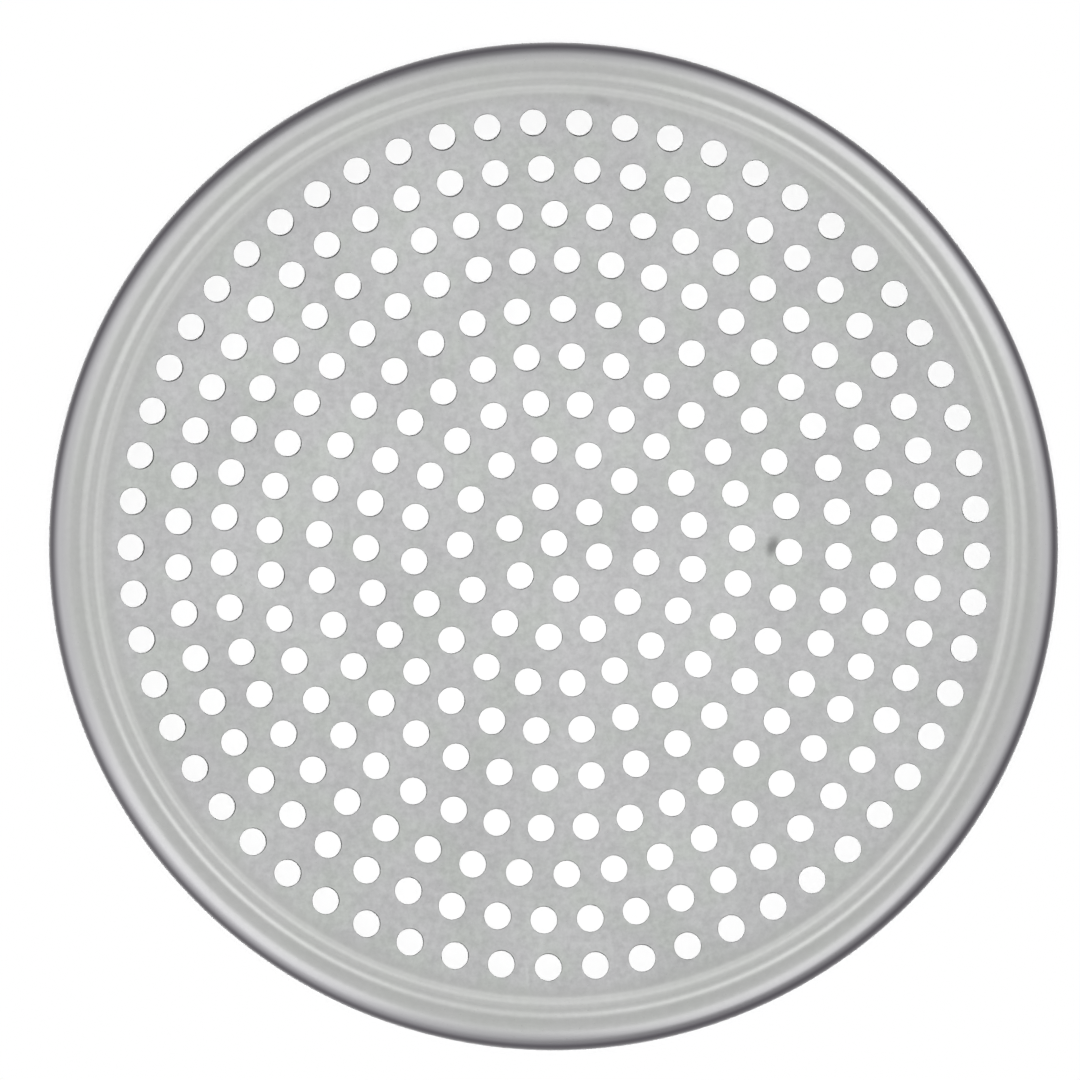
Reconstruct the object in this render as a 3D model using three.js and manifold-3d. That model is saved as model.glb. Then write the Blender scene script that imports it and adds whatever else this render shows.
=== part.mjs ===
// A perforated pizza disc: one pressed sheet of aluminium with a flat floor full of round holes,
// a raised stiffening bead near the edge, and a rim that rolls over outwards and down to a short
// skirt. The disc stands on the skirt's edge, so air passes under the floor.
// Millimetres and degrees, +Z up. The origin is the centre of the circle that the disc stands on.

import * as THREE from "three";
import { mergeGeometries, mergeVertices } from "three/addons/utils/BufferGeometryUtils.js";
import Module from "manifold-3d";

// Sheet
const outerDiameter = 355.6; // 14 inches over the rim
const sheetThickness = 1.2;

// Rim, from the skirt's edge up and inwards
const skirtLength = 0.8; // straight stretch under the roll
const rollRadius = 9.2; // top surface of the roll, from the skirt to the floor's level
const landWidth = 1.1; // flat ring between the roll and the bead

// Stiffening bead
const beadWidth = 8.8;
const beadHeight = 0.7;

// Perforation
const holeDiameter = 9.5; // 3/8 inch punch
const ringPitch = 16.5; // from one ring of holes to the next, and from the centre hole to the first
const plainMargin = 4.0; // least plain floor between a hole and the bead

// Each ring from the centre outwards: its holes and the direction of the first one. A ring that was
// punched unevenly also has how far its holes stray towards one side, and that side's direction.
// A ring that was punched too wide has how far out it lies.
const holeRings = [
  { holes: 6, first: 42.6, stray: 2.0, side: 8, out: 0 },
  { holes: 13, first: 15.2, stray: 2.3, side: 9, out: 0 },
  { holes: 20, first: 7.4, stray: 0, side: 0, out: 0 },
  { holes: 26, first: 1.5, stray: 0, side: 0, out: 0 },
  { holes: 32, first: 9.1, stray: 0, side: 0, out: 0 },
  { holes: 40, first: 6.4, stray: 0, side: 0, out: 0.9 },
  { holes: 45, first: 1.0, stray: 1.8, side: 120, out: 0.5 },
  { holes: 51, first: 0.2, stray: 0, side: 0, out: 0 },
  { holes: 57, first: 4.2, stray: 0.5, side: 120, out: 0 },
];

// Facets
const rimSegments = 48;
const holeSides = 8;
const footSteps = 1;
const crownSteps = 2;
const rollSteps = 5;

// Levels and radii that follow from the sizes above
const floorLevel = skirtLength + rollRadius;
const outerRadius = outerDiameter / 2;
const rollStart = outerRadius - rollRadius;

// The bead's crown and its two feet are arcs of one radius, tangent to each other and to the floor.
const beadEnd = rollStart - landWidth;
const beadCrown = beadEnd - beadWidth / 2;
const beadStart = beadEnd - beadWidth;
const beadSlope = 2 * Math.atan((2 * beadHeight) / beadWidth);
const beadArc = beadWidth / (4 * Math.sin(beadSlope));

// Points of the sheet at a depth below its top surface, from the axis out to the skirt's edge.
// Each bend is an arc about one centre for every depth, so the sheet is equally thick all over.
// A positive radius bulges upwards and a negative one is hollow. Tilt leans outwards from upright.
function sheetLine(depth) {
  const points = [new THREE.Vector2(0, floorLevel - depth)];

  function bend(centreRadius, centreLevel, radius, fromTilt, toTilt, steps, withStart) {
    for (let step = withStart ? 0 : 1; step <= steps; step += 1) {
      const tilt = THREE.MathUtils.lerp(fromTilt, toTilt, step / steps);
      const reach = radius - depth;
      points.push(new THREE.Vector2(
        centreRadius + reach * Math.sin(tilt),
        centreLevel + reach * Math.cos(tilt),
      ));
    }
  }

  const beadFootLevel = floorLevel + beadArc;
  const beadCrownLevel = floorLevel + beadHeight - beadArc;
  bend(beadStart, beadFootLevel, -beadArc, 0, -beadSlope, footSteps, true);
  bend(beadCrown, beadCrownLevel, beadArc, -beadSlope, beadSlope, crownSteps, false);
  bend(beadEnd, beadFootLevel, -beadArc, beadSlope, 0, footSteps, false);
  bend(rollStart, skirtLength, rollRadius, 0, Math.PI / 2, rollSteps, true);
  points.push(new THREE.Vector2(outerRadius - depth, 0));
  return points;
}

// The pressing before it is perforated, turned from the closed outline of the sheet.
function pressedSheet() {
  const outline = [...sheetLine(sheetThickness), ...sheetLine(0).reverse()];
  const sheet = new THREE.LatheGeometry(outline, rimSegments);
  sheet.rotateX(Math.PI / 2);
  return sheet;
}

// Directions of a ring's holes. On an uneven ring they crowd on one side and spread on the other.
function holeDirections(ring) {
  const directions = [];
  for (let index = 0; index < ring.holes; index += 1) {
    const even = ring.first + (index * 360) / ring.holes;
    const crowding = Math.sin(THREE.MathUtils.degToRad(even - ring.side));
    directions.push(THREE.MathUtils.degToRad(even - ring.stray * crowding));
  }
  return directions;
}

// Punches for the centre hole and for every ring that lies on the flat floor inside the bead.
// A punch has as many sides as a hole gets, and the round hole's area.
function punches() {
  const sector = (2 * Math.PI) / holeSides;
  const punchRadius = (holeDiameter / 2) * Math.sqrt(sector / Math.sin(sector));
  const punchLength = 3 * sheetThickness;
  const punch = new THREE.CylinderGeometry(punchRadius, punchRadius, punchLength, holeSides);
  punch.rotateX(Math.PI / 2);
  punch.translate(0, 0, floorLevel - sheetThickness / 2);

  const placed = [punch];
  holeRings.forEach((ring, index) => {
    const ringRadius = (index + 1) * ringPitch + ring.out;
    if (ringRadius + holeDiameter / 2 + plainMargin > beadStart) return;
    for (const direction of holeDirections(ring)) {
      placed.push(punch.clone().translate(ringRadius, 0, 0).rotateZ(direction));
    }
  });
  return mergeGeometries(placed);
}

const wasm = await Module();
wasm.setup();

// A closed solid from a geometry whose vertices are first merged, without the slivers that a
// revolve leaves at its axis.
function toSolid(geometry) {
  const bare = geometry.clone();
  bare.deleteAttribute("normal");
  bare.deleteAttribute("uv");
  const merged = mergeVertices(bare);
  const triangles = [];
  const index = merged.index.array;
  for (let i = 0; i < index.length; i += 3) {
    const [a, b, c] = index.subarray(i, i + 3);
    if (a !== b && b !== c && c !== a) triangles.push(a, b, c);
  }
  return new wasm.Manifold(new wasm.Mesh({
    numProp: 3,
    vertProperties: new Float32Array(merged.attributes.position.array),
    triVerts: new Uint32Array(triangles),
  }));
}

function toGeometry(solid) {
  const mesh = solid.getMesh();
  const geometry = new THREE.BufferGeometry();
  geometry.setAttribute("position", new THREE.BufferAttribute(mesh.vertProperties, 3));
  geometry.setIndex(new THREE.BufferAttribute(mesh.triVerts, 1));
  const flat = geometry.toNonIndexed();
  flat.computeVertexNormals();
  return flat;
}

const satinAluminium = new THREE.MeshStandardMaterial({
  color: 0xbbbdbb,
  roughness: 0.45,
  metalness: 1.0,
});

const perforatedDisc = new THREE.Mesh(
  toGeometry(toSolid(pressedSheet()).subtract(toSolid(punches()))),
  satinAluminium,
);
perforatedDisc.name = "perforated_disc";

const pizzaDisc = new THREE.Group();
pizzaDisc.add(perforatedDisc);

export default pizzaDisc;
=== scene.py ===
"""A perforated pizza disc of pressed aluminium, dressed for a studio picture.

The disc is one sheet: a flat floor punched with rings of round holes, a raised stiffening bead,
and a rim that rolls over and down to a short skirt. It stands on a pale floor, seen from almost
straight above. Everything is in metres, in the frame of the loaded part.
"""

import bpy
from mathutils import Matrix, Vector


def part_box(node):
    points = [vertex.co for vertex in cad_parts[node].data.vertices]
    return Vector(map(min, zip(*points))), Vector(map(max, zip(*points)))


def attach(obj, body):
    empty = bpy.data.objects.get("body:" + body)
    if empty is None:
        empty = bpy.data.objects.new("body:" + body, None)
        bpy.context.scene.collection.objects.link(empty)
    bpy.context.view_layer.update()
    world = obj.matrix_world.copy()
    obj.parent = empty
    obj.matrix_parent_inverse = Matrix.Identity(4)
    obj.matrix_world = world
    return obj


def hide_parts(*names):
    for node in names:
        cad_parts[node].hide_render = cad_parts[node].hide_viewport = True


bl_info = {
    "name": "Perforated pizza disc",
    "version": (1, 0, 0),
    "blender": (4, 5, 0),
    "location": "3D View > Sidebar > Pizza disc",
    "description": "Presses and punches an aluminium pizza disc and sets it on a pale studio floor",
    "category": "Object",
}

import math

import bmesh
import bpy
from bpy.props import (
    FloatProperty,
    FloatVectorProperty,
    IntProperty,
    PointerProperty,
)
from mathutils import Matrix, Vector

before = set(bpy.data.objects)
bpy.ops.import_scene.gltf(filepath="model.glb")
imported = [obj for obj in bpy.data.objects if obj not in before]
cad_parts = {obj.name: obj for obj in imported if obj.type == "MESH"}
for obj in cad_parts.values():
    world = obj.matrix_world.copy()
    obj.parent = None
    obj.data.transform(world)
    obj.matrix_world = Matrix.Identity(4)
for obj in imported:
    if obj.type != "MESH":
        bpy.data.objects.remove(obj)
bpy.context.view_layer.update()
DISC_LOW, DISC_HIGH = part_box("perforated_disc")

MM = 0.001

# Each ring of holes from the centre outwards: its number of holes, the direction of the first one, how
# far the holes of an uneven ring stray towards one side, that side's direction, and how far out a ring
# lies that was punched too wide. Angles are in degrees.
HOLE_RINGS = (
    (6, 42.6, 2.0, 8, 0),
    (13, 15.2, 2.3, 9, 0),
    (20, 7.4, 0, 0, 0),
    (26, 1.5, 0, 0, 0),
    (32, 9.1, 0, 0, 0),
    (40, 6.4, 0, 0, 0.9 * MM),
    (45, 1.0, 1.8, 120, 0.5 * MM),
    (51, 0.2, 0, 0, 0),
    (57, 4.2, 0.5, 120, 0),
)


def linear(code):
    """Turns an sRGB hex code into linear red, green and blue."""
    channels = [int(code[i:i + 2], 16) / 255 for i in (0, 2, 4)]
    return tuple(c / 12.92 if c <= 0.04045 else ((c + 0.055) / 1.055) ** 2.4 for c in channels)


class SheetSizes(bpy.types.PropertyGroup):
    """Sizes of the pressed sheet."""

    outer_diameter: FloatProperty(
        name="Outer diameter",
        description="Width of the disc over its rim",
        default=DISC_HIGH.x - DISC_LOW.x,
        unit="LENGTH",
    )
    height: FloatProperty(
        name="Height",
        description="From the skirt's edge to the crown of the bead",
        default=DISC_HIGH.z - DISC_LOW.z,
        unit="LENGTH",
    )
    thickness: FloatProperty(
        name="Thickness",
        description="Thickness of the sheet",
        default=1.2 * MM,
        unit="LENGTH",
    )
    roll_radius: FloatProperty(
        name="Roll radius",
        description="Radius of the rim where it rolls down from the floor's level to the skirt",
        default=9.2 * MM,
        unit="LENGTH",
    )
    land_width: FloatProperty(
        name="Land width",
        description="Flat ring between the bead and the roll",
        default=1.1 * MM,
        unit="LENGTH",
    )
    bead_width: FloatProperty(
        name="Bead width",
        description="Width of the raised stiffening bead",
        default=8.8 * MM,
        unit="LENGTH",
    )
    bead_height: FloatProperty(
        name="Bead height",
        description="Height of the stiffening bead above the floor",
        default=0.7 * MM,
        unit="LENGTH",
    )
    edge_round: FloatProperty(
        name="Edge round",
        description="Rounding of the cut edge that the disc stands on",
        default=0.3 * MM,
        unit="LENGTH",
    )
    segments: IntProperty(
        name="Segments",
        description="Steps of the rim round the disc",
        default=256,
        min=64,
    )


class HoleSizes(bpy.types.PropertyGroup):
    """Sizes of the perforation."""

    diameter: FloatProperty(
        name="Hole diameter",
        description="Width of each punched hole",
        default=9.5 * MM,
        unit="LENGTH",
    )
    ring_pitch: FloatProperty(
        name="Ring pitch",
        description="Distance from one ring of holes to the next",
        default=16.5 * MM,
        unit="LENGTH",
    )
    die_roll: FloatProperty(
        name="Die roll",
        description="Width of the edge that the punch draws in at the top of a hole",
        default=0.25 * MM,
        unit="LENGTH",
    )
    sides: IntProperty(
        name="Hole sides",
        description="Corners of each hole",
        default=24,
        min=8,
    )


class SheetFinish(bpy.types.PropertyGroup):
    """Colours and gloss of the aluminium."""

    sheet_colour: FloatVectorProperty(
        name="Sheet",
        description="Satin grey of the floor",
        default=linear("BABBBB"),
        subtype="COLOR",
    )
    rosy_colour: FloatVectorProperty(
        name="Rosy cast",
        description="Rosy cast of some blotches",
        default=linear("BABABB"),
        subtype="COLOR",
    )
    green_colour: FloatVectorProperty(
        name="Green cast",
        description="Greenish cast of the other blotches",
        default=linear("B9BCB9"),
        subtype="COLOR",
    )
    # A warmer grey blended in at the bead, which evens out the mottling there.
    bead_colour: FloatVectorProperty(
        name="Bead cast",
        description="Warmer grey blended in at the bead",
        default=linear("BBBCBA"),
        subtype="COLOR",
    )
    rim_colour: FloatVectorProperty(
        name="Rim cast",
        description="Bluish cast of the rolled rim",
        default=linear("BFBEC2"),
        subtype="COLOR",
    )
    # The dark shoulder is a painted dark reflection on the steep part of the roll.
    painted_shoulder_reflection: FloatVectorProperty(
        name="Dark shoulder",
        description="Painted dark reflection on the shoulder of the rolled rim",
        default=linear("524F55"),
        subtype="COLOR",
    )
    roughness: FloatProperty(
        name="Roughness",
        description="Roughness of the satin surface",
        default=0.3,
        min=0.0,
        max=1.0,
    )


class StageSizes(bpy.types.PropertyGroup):
    """Camera and light of the studio."""

    camera_distance: FloatProperty(
        name="Camera distance",
        description="From the middle of the disc to the camera",
        default=2.0,
        unit="LENGTH",
    )
    tilt_to_front: FloatProperty(
        name="Tilt to the front",
        description="How far the camera leans towards the viewer from straight above",
        default=math.radians(2.77),
        subtype="ANGLE",
    )
    tilt_to_left: FloatProperty(
        name="Tilt to the left",
        description="How far the camera leans to the left from straight above",
        default=math.radians(0.63),
        subtype="ANGLE",
    )
    picture_width: FloatProperty(
        name="Picture width",
        description="Width of what the picture takes in at the disc",
        default=380.9 * MM,
        unit="LENGTH",
    )
    aim: FloatVectorProperty(
        name="Aim",
        description="Point of the stage in the middle of the picture",
        default=(-4.9 * MM, 1.6 * MM, 0.0),
        subtype="TRANSLATION",
    )
    floor_colour: FloatVectorProperty(
        name="Floor",
        description="Pale studio floor",
        default=linear("F7F7F7"),
        subtype="COLOR",
    )
    dome_above: FloatProperty(
        name="Dome above",
        description="Brightness of the studio dome straight above",
        default=0.86,
        min=0.0,
    )
    dome_round: FloatProperty(
        name="Dome all round",
        description="Brightness of the studio dome towards its sides",
        default=0.95,
        min=0.0,
    )
    dome_ends: FloatProperty(
        name="Dome ends",
        description="Share of the dome's brightness that is left low down at the front and back",
        default=0.5,
        min=0.0,
    )
    key_light: FloatProperty(
        name="Key light",
        description="Brightness of white paint under the key light above the disc",
        default=1.0,
        min=0.0,
    )


class PizzaDisc(bpy.types.PropertyGroup):
    """All settings of the disc and its stage."""

    sheet: PointerProperty(type=SheetSizes)
    holes: PointerProperty(type=HoleSizes)
    finish: PointerProperty(type=SheetFinish)
    stage: PointerProperty(type=StageSizes)


# Mesh helpers

def new_object(name, shape):
    """Makes an object at the origin from a bmesh and frees the bmesh."""
    mesh = bpy.data.meshes.new(name)
    shape.to_mesh(mesh)
    shape.free()
    piece = bpy.data.objects.new(name, mesh)
    bpy.context.scene.collection.objects.link(piece)
    return piece


def draw_to(shape, end, radius, level):
    """Draws an outline on from its end vertex, straight to a radius and a level."""
    drawn = bmesh.ops.extrude_vert_indiv(shape, verts=[end])["verts"][0]
    drawn.co = (radius, 0, level)
    return drawn


def bend_on(shape, end, centre_radius, centre_level, angle, steps):
    """Draws an outline on from its end vertex, round a bend. A positive angle turns downwards."""
    drawn = bmesh.ops.spin(
        shape,
        geom=[end],
        cent=(centre_radius, 0, centre_level),
        axis=(0, 1, 0),
        angle=angle,
        steps=steps,
    )
    return drawn["geom_last"][0]


def turn_round(shape, steps):
    """Turns the outline in a bmesh into a closed surface of revolution about the upright axis."""
    bmesh.ops.spin(
        shape,
        geom=shape.verts[:] + shape.edges[:],
        cent=(0, 0, 0),
        axis=(0, 0, 1),
        angle=math.tau,
        steps=steps,
        use_merge=True,
    )


# The disc

FLAT_RING = 2 * MM  # plain floor turned together with the bead
BEAD_STEPS = 5
ROLL_STEPS = 14
EDGE_STEPS = 3
FILL_REACH = 0.01  # millimetres from a level that count as on it


def floor_level(sheet):
    """Level of the perforated floor's top surface."""
    return sheet.height - sheet.bead_height


def roll_start(sheet):
    """Distance from the axis where the rim starts to roll down."""
    return sheet.outer_diameter / 2 - sheet.roll_radius


def bead_crown(sheet):
    """Distance from the axis to the crown of the bead."""
    return roll_start(sheet) - sheet.land_width - sheet.bead_width / 2


def press_rim(shape, sheet):
    """Turns everything outside the perforated floor: bead, roll, skirt and their underside."""
    floor = floor_level(sheet)
    under = floor - sheet.thickness
    outer = sheet.outer_diameter / 2
    inner = outer - sheet.thickness
    roll = roll_start(sheet)
    skirt = floor - sheet.roll_radius
    quarter = math.pi / 2

    # The bead's crown and feet are arcs of one radius, tangent to each other and to the floor.
    crown = bead_crown(sheet)
    bead_start = crown - sheet.bead_width / 2
    bead_end = crown + sheet.bead_width / 2
    slope = 2 * math.atan(2 * sheet.bead_height / sheet.bead_width)
    arc = sheet.bead_width / (4 * math.sin(slope))
    crown_centre = floor + sheet.bead_height - arc

    # Top surface, from the floor over the bead and the roll.
    end = shape.verts.new((bead_start - FLAT_RING, 0, floor))
    end = draw_to(shape, end, bead_start, floor)
    end = bend_on(shape, end, bead_start, floor + arc, -slope, BEAD_STEPS)
    end = bend_on(shape, end, crown, crown_centre, 2 * slope, 2 * BEAD_STEPS)
    end = bend_on(shape, end, bead_end, floor + arc, -slope, BEAD_STEPS)
    end = draw_to(shape, end, roll, floor)
    end = bend_on(shape, end, roll, skirt, quarter, ROLL_STEPS)

    # Skirt and the rounded edge that the disc stands on.
    outer_edge = outer - sheet.edge_round
    inner_edge = inner + sheet.edge_round
    end = draw_to(shape, end, outer, sheet.edge_round)
    end = bend_on(shape, end, outer_edge, sheet.edge_round, quarter, EDGE_STEPS)
    end = draw_to(shape, end, inner_edge, 0)
    end = bend_on(shape, end, inner_edge, sheet.edge_round, quarter, EDGE_STEPS)
    end = draw_to(shape, end, inner, skirt)

    # Underside, back to the floor about the same centres, so the sheet is equally thick all over.
    end = bend_on(shape, end, roll, skirt, -quarter, ROLL_STEPS)
    end = draw_to(shape, end, bead_end, under)
    end = bend_on(shape, end, bead_end, floor + arc, slope, BEAD_STEPS)
    end = bend_on(shape, end, crown, crown_centre, -2 * slope, 2 * BEAD_STEPS)
    end = bend_on(shape, end, bead_start, floor + arc, slope, BEAD_STEPS)
    draw_to(shape, end, bead_start - FLAT_RING, under)
    turn_round(shape, sheet.segments)


def hole_centres(holes):
    """Places of the holes in the rings."""
    centres = []
    for ring, (count, first, stray, side, out) in enumerate(HOLE_RINGS, 1):
        radius = ring * holes.ring_pitch + out
        for index in range(count):
            even = math.radians(first) + math.tau * index / count
            crowding = math.sin(even - math.radians(side))
            direction = even - math.radians(stray) * crowding
            centres.append(Vector((math.cos(direction), math.sin(direction), 0)) * radius)
    return centres


def punch_holes(shape, sheet, holes):
    """Adds the wall of every hole, with the edge that the punch draws in at its top. The first wall
    stays in the middle of the disc, and its copies go to the rings."""
    floor = floor_level(sheet)
    radius = holes.diameter / 2
    walls = bmesh.new()
    end = walls.verts.new((radius + holes.die_roll, 0, floor))
    end = draw_to(walls, end, radius, floor - holes.die_roll)
    draw_to(walls, end, radius, floor - sheet.thickness)
    turn_round(walls, holes.sides)
    first = walls.verts[:] + walls.edges[:] + walls.faces[:]
    for centre in hole_centres(holes):
        copied = bmesh.ops.duplicate(walls, geom=first)["geom"]
        corners = [part for part in copied if isinstance(part, bmesh.types.BMVert)]
        bmesh.ops.translate(walls, verts=corners, vec=centre)
    mesh = bpy.data.meshes.new("hole_walls")
    walls.to_mesh(mesh)
    walls.free()
    shape.from_mesh(mesh)
    bpy.data.meshes.remove(mesh)


def lay_floor(shape, level):
    """Fills the flat sheet between the rim and the holes at one level, and keeps it flat shaded."""
    rims = [
        edge for edge in shape.edges
        if edge.is_boundary and all(abs(corner.co.z - level) < FILL_REACH for corner in edge.verts)
    ]
    filled = bmesh.ops.triangle_fill(shape, use_beauty=True, edges=rims, normal=(0, 0, 1))
    for face in filled["geom"]:
        if isinstance(face, bmesh.types.BMFace):
            face.smooth = False


def press_disc(settings):
    """Makes the whole pressed and punched sheet as one closed mesh."""
    sheet = settings.sheet
    floor = floor_level(sheet)
    shape = bmesh.new()
    press_rim(shape, sheet)
    punch_holes(shape, sheet, settings.holes)
    for face in shape.faces:
        face.smooth = True

    # Filling works to a fixed tolerance that is too coarse for metres, so it is done in millimetres.
    bmesh.ops.scale(shape, verts=shape.verts[:], vec=(1 / MM, 1 / MM, 1 / MM))
    lay_floor(shape, floor / MM)
    lay_floor(shape, (floor - sheet.thickness) / MM)
    bmesh.ops.scale(shape, verts=shape.verts[:], vec=(MM, MM, MM))

    bmesh.ops.recalc_face_normals(shape, faces=shape.faces[:])
    if not all(edge.is_manifold for edge in shape.edges):
        raise RuntimeError("the sheet isn't closed")
    return new_object("pressed_sheet", shape)


# Materials

def add_node(tree, kind, inputs=None, **settings):
    """Adds a node with its settings, and fills its inputs with values or links."""
    node = tree.nodes.new(kind)
    for name, value in settings.items():
        setattr(node, name, value)
    for name, value in (inputs or {}).items():
        if isinstance(value, bpy.types.NodeSocket):
            tree.links.new(value, node.inputs[name])
        else:
            node.inputs[name].default_value = value
    return node


def new_material(name):
    """Makes a material with an empty node tree."""
    material = bpy.data.materials.new(name)
    material.use_nodes = True
    material.node_tree.nodes.clear()
    return material


def distance_from_axis(tree, place):
    """Distance from the upright axis through the middle of the disc."""
    flat = add_node(tree, "ShaderNodeVectorMath", {
        0: place, 1: (1, 1, 0),
    }, operation="MULTIPLY").outputs["Vector"]
    return add_node(tree, "ShaderNodeVectorMath", {0: flat}, operation="LENGTH").outputs["Value"]


def mix_colour(tree, share, colour, other):
    """Blends a share of another colour into a colour, by a Mix node's sockets for colours."""
    return add_node(tree, "ShaderNodeMix", {
        0: share, 6: colour, 7: (*other, 1),
    }, data_type="RGBA").outputs[2]


def shade_colour(tree, colour, lightness):
    """Makes a colour lighter or darker."""
    return add_node(tree, "ShaderNodeVectorMath", {
        0: colour, "Scale": lightness,
    }, operation="SCALE").outputs["Vector"]


# What rolling leaves in the sheet: how wide each pattern is drawn, and how far it goes. The grain is
# drawn coarser than the real one, so that it shows.
BLOTCH_WIDTH = 15 * MM
BLOTCH_DETAIL = 1.5
BLOTCH_MIDDLE = 0.5
BLOTCH_REACH = 0.15
CLOUD_WIDTH = 42 * MM
CLOUD_DEPTH = 0.056
CLOUD_ROUGHNESS = 0.5
GRAIN_WIDTH = 2.2 * MM
GRAIN_DEPTH = 0.09
GRAIN_ROUGHNESS = 0.6
PATTERN_DETAIL = 2.0
NOISE_RANGE = (0.3, 0.7)  # values between which nearly all of a noise lies


def mottle(tree, place, tone, width, roughness, depth):
    """Makes a colour lighter and darker by a depth, in patches of a width."""
    noise = add_node(tree, "ShaderNodeTexNoise", {
        "Vector": place, "Scale": 1 / width, "Detail": PATTERN_DETAIL, "Roughness": roughness,
    }).outputs["Fac"]
    lightness = add_node(tree, "ShaderNodeMapRange", {
        "Value": noise, "From Min": NOISE_RANGE[0], "From Max": NOISE_RANGE[1],
        "To Min": 1 - depth, "To Max": 1 + depth,
    }).outputs["Result"]
    return shade_colour(tree, tone, lightness)


def rolled_sheet(tree, place, finish):
    """Grey of the sheet with what rolling leaves: rosy and greenish blotches wider than a hole,
    wider clouds, and a grain."""
    blotch = add_node(tree, "ShaderNodeTexNoise", {
        "Vector": place, "Scale": 1 / BLOTCH_WIDTH, "Detail": BLOTCH_DETAIL,
    }).outputs["Fac"]
    rosy = add_node(tree, "ShaderNodeMapRange", {
        "Value": blotch, "From Min": BLOTCH_MIDDLE, "From Max": BLOTCH_MIDDLE + BLOTCH_REACH,
    }).outputs["Result"]
    green = add_node(tree, "ShaderNodeMapRange", {
        "Value": blotch, "From Min": BLOTCH_MIDDLE, "From Max": BLOTCH_MIDDLE - BLOTCH_REACH,
    }).outputs["Result"]
    tone = mix_colour(tree, rosy, (*finish.sheet_colour, 1), finish.rosy_colour)
    tone = mix_colour(tree, green, tone, finish.green_colour)
    tone = mottle(tree, place, tone, CLOUD_WIDTH, CLOUD_ROUGHNESS, CLOUD_DEPTH)
    return mottle(tree, place, tone, GRAIN_WIDTH, GRAIN_ROUGHNESS, GRAIN_DEPTH)


# Light and shade painted in rings: distance from the bead's crown in millimetres, and lightness.
# Painted highlights lie on both flanks of the bead and where the rim starts to roll, and painted
# shade on the crown and in the grooves beside the flanks.
PAINTED_RING_LIGHT = (
    (-20.0, 1.0),
    (-9.0, 0.99),
    (-5.2, 0.925),
    (-2.1, 1.225),
    (-0.65, 0.945),
    (1.9, 1.135),
    (4.6, 0.935),
    (7.0, 1.045),
    (9.0, 1.015),
)

# Distances inside the bead's crown between which the mottling is evened out, and how far it is.
PRESSED_START = 10.0 * MM
PRESSED_END = 3.0 * MM
PRESSED_SHARE = 0.7


def bead_cast_and_ring_light(tree, radius, tone, settings):
    """Evens out the mottling at the bead, and paints light and shade in rings: highlights on its flanks
    and where the rim starts to roll, shade on its crown and in the grooves beside it.
    """
    crown = bead_crown(settings.sheet)
    pressed = add_node(tree, "ShaderNodeMapRange", {
        "Value": radius, "From Min": crown - PRESSED_START, "From Max": crown - PRESSED_END,
        "To Min": 0.0, "To Max": PRESSED_SHARE,
    }, interpolation_type="SMOOTHSTEP").outputs["Result"]
    tone = mix_colour(tree, pressed, tone, settings.finish.bead_colour)

    first = PAINTED_RING_LIGHT[0][0]
    last = PAINTED_RING_LIGHT[-1][0]
    # The ramp paints highlights and shade in rings across the bead and where the rim starts to roll.
    across = add_node(tree, "ShaderNodeMapRange", {
        "Value": radius, "From Min": crown + first * MM, "From Max": crown + last * MM,
    }).outputs["Result"]
    ramp = add_node(tree, "ShaderNodeValToRGB", {"Fac": across})
    stops = ramp.color_ramp.elements
    ramp.color_ramp.interpolation = "EASE"
    for distance, _ in PAINTED_RING_LIGHT[1:-1]:
        stops.new((distance - first) / (last - first))
    for stop, (_, lightness) in zip(stops, PAINTED_RING_LIGHT):
        stop.color = (lightness, lightness, lightness, 1)
    return shade_colour(tree, tone, ramp.outputs["Color"])


# Marks of use on the floor: place, width, length and turn, in millimetres and degrees, and the
# lightness in the middle of the mark.
USE_MARKS = (
    (76.6, -1.0, 5.0, 9.5, -18, 0.52),
    (16.0, 156.0, 4.5, 10.0, 70, 0.86),
    (-9.4, -151.5, 1.6, 13.0, 6, 1.07),
)
MARK_FADE = (0.2, 1.2)  # shares of a mark's half width between which it fades out


def use_marks(tree, place, tone, sheet):
    """Lays the marks of use on the floor: a dark smudge beside a hole, a scuff and a pale streak.
    They fade out within the sheet, so its underside stays clean."""
    for x, y, width, length, turn, lightness in USE_MARKS:
        within = add_node(tree, "ShaderNodeMapping", {
            "Vector": place,
            "Location": (x * MM, y * MM, floor_level(sheet)),
            "Rotation": (0, 0, math.radians(turn)),
            "Scale": (width / 2 * MM, length / 2 * MM, sheet.thickness / 2),
        }, vector_type="TEXTURE").outputs["Vector"]
        reach = add_node(tree, "ShaderNodeVectorMath", {0: within}, operation="LENGTH").outputs["Value"]
        tone = shade_colour(tree, tone, add_node(tree, "ShaderNodeMapRange", {
            "Value": reach, "From Min": MARK_FADE[0], "From Max": MARK_FADE[1],
            "To Min": lightness, "To Max": 1.0,
        }, interpolation_type="SMOOTHSTEP").outputs["Result"])
    return tone


# Distances inside the outer edge where the rim's cast and the painted dark reflection on its
# shoulder start and are full.
RIM_CAST_START = 9.1 * MM
RIM_CAST_FULL = 2.0 * MM
SHOULDER_START = 4.8 * MM
SHOULDER_FULL = 1.5 * MM

# Heights between which the painted dark reflection thins out towards the skirt, and the share
# that the skirt keeps.
SKIRT_TOP = 4.5 * MM
SKIRT_FOOT = 1.0 * MM
SKIRT_SHARE = 0.4

# How far the painted dark reflection on the shoulder lies off centre, and how far it is from round.
# It reaches farther in at the back and at the front right.
SHOULDER_SHIFT = (-0.29 * MM, -0.36 * MM, 0)
SHOULDER_OVAL = (1.0017, 0.9983, 1)
SHOULDER_TURN = math.radians(28)


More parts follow.
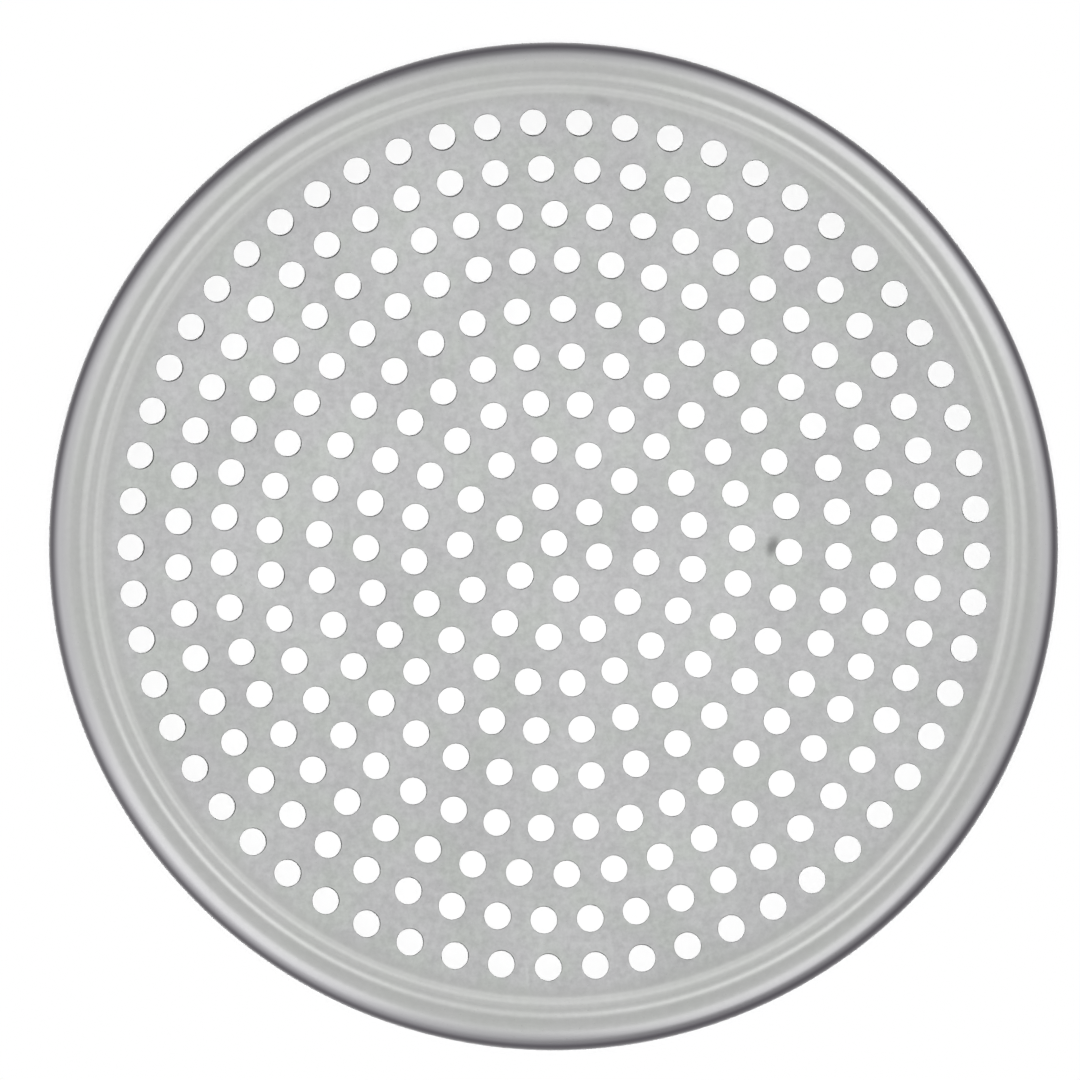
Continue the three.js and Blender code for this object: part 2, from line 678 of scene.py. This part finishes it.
def rolled_rim(tree, place, radius, tone, settings):
    """Gives the rolled rim its bluish cast, and paints a band of dark reflection on the shoulder of the
    roll, fainter on the skirt.
    """
    outer = settings.sheet.outer_diameter / 2
    rim = add_node(tree, "ShaderNodeMapRange", {
        "Value": radius, "From Min": outer - RIM_CAST_START, "From Max": outer - RIM_CAST_FULL,
    }, interpolation_type="SMOOTHSTEP").outputs["Result"]
    tone = mix_colour(tree, rim, tone, settings.finish.rim_colour)

    uneven = add_node(tree, "ShaderNodeMapping", {
        "Vector": place,
        "Location": SHOULDER_SHIFT,
        "Rotation": (0, 0, SHOULDER_TURN),
        "Scale": SHOULDER_OVAL,
    }, vector_type="TEXTURE").outputs["Vector"]
    shoulder = add_node(tree, "ShaderNodeMapRange", {
        "Value": distance_from_axis(tree, uneven),
        "From Min": outer - SHOULDER_START, "From Max": outer - SHOULDER_FULL,
    }, interpolation_type="SMOOTHSTEP").outputs["Result"]
    height = add_node(tree, "ShaderNodeSeparateXYZ", {"Vector": place}).outputs["Z"]
    above = add_node(tree, "ShaderNodeMapRange", {
        "Value": height, "From Min": SKIRT_FOOT, "From Max": SKIRT_TOP,
        "To Min": SKIRT_SHARE, "To Max": 1.0,
    }, interpolation_type="SMOOTHSTEP").outputs["Result"]
    # Painted dark reflection: full on the shoulder, and a share of it low on the skirt.
    band = add_node(tree, "ShaderNodeMath", {
        0: shoulder, 1: above,
    }, operation="MULTIPLY").outputs["Value"]
    return mix_colour(tree, band, tone, settings.finish.painted_shoulder_reflection)


# The fine unevenness that makes the sheet satin, drawn coarser than the real one, so that it shows.
SATIN_WIDTH = 0.9 * MM
SATIN_SPREAD = 0.06  # how far the roughness strays
SATIN_DEPTH = 0.05 * MM
SATIN_STRENGTH = 0.12


def satin_aluminium(settings):
    """Rolled aluminium sheet, pressed and left satin.

    The eye gets a soft grey sheen, mottled by rolling and baking, with painted highlights and shade
    in rings at the bead, a few marks of use, and a bluish rim with a painted dark reflection on its
    shoulder.
    """
    finish = settings.finish
    material = new_material("satin_rolled_aluminium")
    tree = material.node_tree
    place = add_node(tree, "ShaderNodeTexCoord").outputs["Object"]
    radius = distance_from_axis(tree, place)
    tone = rolled_sheet(tree, place, finish)
    tone = bead_cast_and_ring_light(tree, radius, tone, settings)
    tone = use_marks(tree, place, tone, settings.sheet)
    tone = rolled_rim(tree, place, radius, tone, settings)

    satin = add_node(tree, "ShaderNodeTexNoise", {
        "Vector": place, "Scale": 1 / SATIN_WIDTH, "Detail": PATTERN_DETAIL, "Roughness": GRAIN_ROUGHNESS,
    }).outputs["Fac"]
    roughness = add_node(tree, "ShaderNodeMapRange", {
        "Value": satin,
        "To Min": finish.roughness - SATIN_SPREAD,
        "To Max": finish.roughness + SATIN_SPREAD,
    }).outputs["Result"]
    bump = add_node(tree, "ShaderNodeBump", {
        "Strength": SATIN_STRENGTH, "Distance": SATIN_DEPTH, "Height": satin,
    }).outputs["Normal"]

    shader = add_node(tree, "ShaderNodeBsdfPrincipled", {
        "Base Color": tone, "Metallic": 1.0, "Roughness": roughness, "Normal": bump,
    })
    add_node(tree, "ShaderNodeOutputMaterial", {"Surface": shader.outputs["BSDF"]})
    return material


BACKGROUND_FADE = 2.2 * MM  # width of the ring where the lit floor passes into the background


def studio_floor_paint(stage):
    """Matt pale studio paint. Under the disc it takes light and shadow, and from the rim outwards
    the camera and the metal see it as the plain white background."""
    material = new_material("matt_pale_floor_paint")
    tree = material.node_tree
    place = add_node(tree, "ShaderNodeTexCoord").outputs["Object"]
    far = add_node(tree, "ShaderNodeMapRange", {
        "Value": distance_from_axis(tree, place),
        "From Min": DISC_HIGH.x, "From Max": DISC_HIGH.x + BACKGROUND_FADE,
    }, interpolation_type="SMOOTHSTEP").outputs["Result"]
    path = add_node(tree, "ShaderNodeLightPath").outputs
    seen = add_node(tree, "ShaderNodeMath", {
        0: path["Is Camera Ray"], 1: path["Is Glossy Ray"],
    }, operation="MAXIMUM").outputs["Value"]
    plain = add_node(tree, "ShaderNodeMath", {0: far, 1: seen}, operation="MULTIPLY").outputs["Value"]
    paint = add_node(tree, "ShaderNodeBsdfDiffuse", {"Color": (*stage.floor_colour, 1)})
    white = add_node(tree, "ShaderNodeEmission", {"Color": (1, 1, 1, 1), "Strength": 1.0})
    surface = add_node(tree, "ShaderNodeMixShader", {
        0: plain, 1: paint.outputs["BSDF"], 2: white.outputs["Emission"],
    })
    add_node(tree, "ShaderNodeOutputMaterial", {"Surface": surface.outputs["Shader"]})
    return material


# Stage

FLOOR_HALF = 6.0  # half the width of the stage floor
FLOOR_DROP = 0.05 * MM  # keeps the floor clear of the edge that stands on it
SOFTBOX_DISTANCE = 2.2
SENSOR = 36.0  # width of the camera's sensor in millimetres

# Softboxes, one overhead and the others near the diagonals: name, direction from +X and height above
# the floor in degrees, width, and brightness.
SOFTBOXES = (
    ("softbox_overhead", 110, 86, 0.7, 0.33),
    ("softbox_right_back", 45, 40, 1.5, 0.55),
    ("softbox_left_back", 135, 46, 1.5, 0.32),
    ("softbox_left_front", 225, 38, 1.5, 0.55),
    ("softbox_right_front", 302, 38, 1.5, 0.53),
)

# The key light hangs near the camera's line of sight and lower, so that the holes near the rim show
# a thin crescent of shadow.
KEY_PLACE = Vector((-0.002, -0.092, 1.58))
KEY_SIZE = 0.03

# Angles from straight above between which the dome goes from its brightness above to that all round,
# the way to its dimmer ends, and how closely the dimming keeps to them.
DOME_RISE = (15, 40)
DOME_ENDS_WAY = (-0.3, 0.954, 0)
DOME_ENDS_POWER = 4.0


def lay_stage_floor(stage):
    """Lays the pale floor under the disc."""
    shape = bmesh.new()
    bmesh.ops.create_grid(shape, x_segments=1, y_segments=1, size=FLOOR_HALF)
    bmesh.ops.translate(shape, verts=shape.verts[:], vec=(0, 0, -FLOOR_DROP))
    floor = new_object("studio_floor", shape)
    floor.data.materials.append(studio_floor_paint(stage))


def hang_lamp(name, place, shape, size, power):
    """Hangs an area lamp that faces the middle of the disc. The camera doesn't see it."""
    light = bpy.data.lights.new(name, "AREA")
    light.shape = shape
    light.size = size
    light.energy = power
    lamp = bpy.data.objects.new(name, light)
    lamp.location = place
    lamp.rotation_mode = "QUATERNION"
    lamp.rotation_quaternion = place.to_track_quat("Z", "Y")
    lamp.visible_camera = False
    bpy.context.scene.collection.objects.link(lamp)
    return lamp


def hang_softboxes():
    """Hangs the softboxes round the disc. Only the metal takes their light, not the floor."""
    for name, direction, height, width, brightness in SOFTBOXES:
        turn = math.radians(direction)
        rise = math.radians(height)
        level = math.cos(rise)
        way = Vector((level * math.cos(turn), level * math.sin(turn), math.sin(rise)))
        area = width ** 2
        power = brightness * math.pi * area
        softbox = hang_lamp(name, way * SOFTBOX_DISTANCE, "SQUARE", width, power)
        softbox.visible_diffuse = False


def hang_key(stage):
    """Hangs the small key light that lights the floor. The metal doesn't mirror it. Its power is what
    gives white paint under it the wanted brightness from that height."""
    power = stage.key_light * (math.pi * KEY_PLACE.length) ** 2
    key = hang_lamp("key_light", KEY_PLACE, "DISK", KEY_SIZE, power)
    key.visible_glossy = False


def light_dome(stage):
    """Puts a white dome round the stage, which the metal mirrors. It is a little dimmer above, and
    low down at the front and back. It doesn't light the floor, and the camera sees plain white."""
    world = bpy.data.worlds.new("studio_dome")
    bpy.context.scene.world = world
    world.cycles_visibility.diffuse = False
    world.use_nodes = True
    tree = world.node_tree
    tree.nodes.clear()
    way = add_node(tree, "ShaderNodeTexCoord").outputs["Generated"]
    height = add_node(tree, "ShaderNodeSeparateXYZ", {"Vector": way}).outputs["Z"]
    angle = add_node(tree, "ShaderNodeMath", {0: height}, operation="ARCCOSINE").outputs["Value"]
    angle = add_node(tree, "ShaderNodeMath", {0: angle}, operation="DEGREES").outputs["Value"]
    dome = add_node(tree, "ShaderNodeMapRange", {
        "Value": angle, "From Min": DOME_RISE[0], "From Max": DOME_RISE[1],
        "To Min": stage.dome_above, "To Max": stage.dome_round,
    }, interpolation_type="SMOOTHSTEP").outputs["Result"]
    along = add_node(tree, "ShaderNodeVectorMath", {
        0: way, 1: DOME_ENDS_WAY,
    }, operation="DOT_PRODUCT").outputs["Value"]
    ends = add_node(tree, "ShaderNodeMath", {
        0: along, 1: DOME_ENDS_POWER,
    }, operation="POWER").outputs["Value"]
    dimming = add_node(tree, "ShaderNodeMapRange", {
        "Value": ends, "To Min": 1.0, "To Max": stage.dome_ends,
    }).outputs["Result"]
    strength = add_node(tree, "ShaderNodeMath", {
        0: dome, 1: dimming,
    }, operation="MULTIPLY").outputs["Value"]
    strength = add_node(tree, "ShaderNodeMath", {
        0: strength, 1: add_node(tree, "ShaderNodeLightPath").outputs["Is Camera Ray"],
    }, operation="MAXIMUM").outputs["Value"]
    light = add_node(tree, "ShaderNodeBackground", {"Color": (1, 1, 1, 1), "Strength": strength})
    add_node(tree, "ShaderNodeOutputWorld", {"Surface": light.outputs["Background"]})


def set_camera(stage):
    """Puts the camera almost straight above the disc."""
    away = Vector((-math.sin(stage.tilt_to_left), -math.sin(stage.tilt_to_front), 0))
    away.z = math.sqrt(1 - away.length_squared)
    lens = bpy.data.cameras.new("studio_camera")
    lens.sensor_fit = "HORIZONTAL"
    lens.sensor_width = SENSOR
    lens.lens = SENSOR * stage.camera_distance / stage.picture_width
    camera = bpy.data.objects.new("studio_camera", lens)
    camera.location = away * stage.camera_distance
    camera.rotation_mode = "QUATERNION"
    back = (camera.location - Vector(stage.aim)).normalized()
    right = Vector((0, 1, 0)).cross(back).normalized()
    facing = Matrix((right, back.cross(right), back)).transposed()
    camera.rotation_quaternion = facing.to_quaternion()
    bpy.context.scene.collection.objects.link(camera)
    bpy.context.scene.camera = camera


# Operators and panel

class PressedSheet(bpy.types.Operator):
    """Press and punch the aluminium disc, and give it its satin finish"""

    bl_idname = "pizza_disc.pressed_sheet"
    bl_label = "Press the disc"

    def execute(self, context):
        settings = context.scene.pizza_disc
        piece = press_disc(settings)
        piece.data.materials.append(satin_aluminium(settings))
        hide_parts("perforated_disc")
        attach(piece, "root")
        return {"FINISHED"}


class StudioStage(bpy.types.Operator):
    """Lay the pale floor, hang the lights and place the camera"""

    bl_idname = "pizza_disc.studio_stage"
    bl_label = "Set the stage"

    def execute(self, context):
        stage = context.scene.pizza_disc.stage
        context.scene.view_settings.view_transform = "Standard"
        lay_stage_floor(stage)
        light_dome(stage)
        hang_softboxes()
        hang_key(stage)
        set_camera(stage)
        return {"FINISHED"}


class PizzaDiscPanel(bpy.types.Panel):
    """Settings of the disc and the steps that make it"""

    bl_idname = "VIEW3D_PT_pizza_disc"
    bl_label = "Pizza disc"
    bl_space_type = "VIEW_3D"
    bl_region_type = "UI"
    bl_category = "Pizza disc"

    def draw(self, context):
        settings = context.scene.pizza_disc
        for title, group in (
            ("Sheet", settings.sheet),
            ("Holes", settings.holes),
            ("Finish", settings.finish),
            ("Stage", settings.stage),
        ):
            box = self.layout.box()
            box.label(text=title)
            for name in group.__annotations__:
                box.prop(group, name)
        self.layout.operator(PressedSheet.bl_idname)
        self.layout.operator(StudioStage.bl_idname)


CLASSES = (
    SheetSizes,
    HoleSizes,
    SheetFinish,
    StageSizes,
    PizzaDisc,
    PressedSheet,
    StudioStage,
    PizzaDiscPanel,
)


def register():
    for cls in CLASSES:
        bpy.utils.register_class(cls)
    bpy.types.Scene.pizza_disc = PointerProperty(type=PizzaDisc)


def unregister():
    del bpy.types.Scene.pizza_disc
    for cls in reversed(CLASSES):
        bpy.utils.unregister_class(cls)


def main():
    register()
    bpy.ops.pizza_disc.pressed_sheet()
    bpy.ops.pizza_disc.studio_stage()


if __name__ == "__main__":
    main()
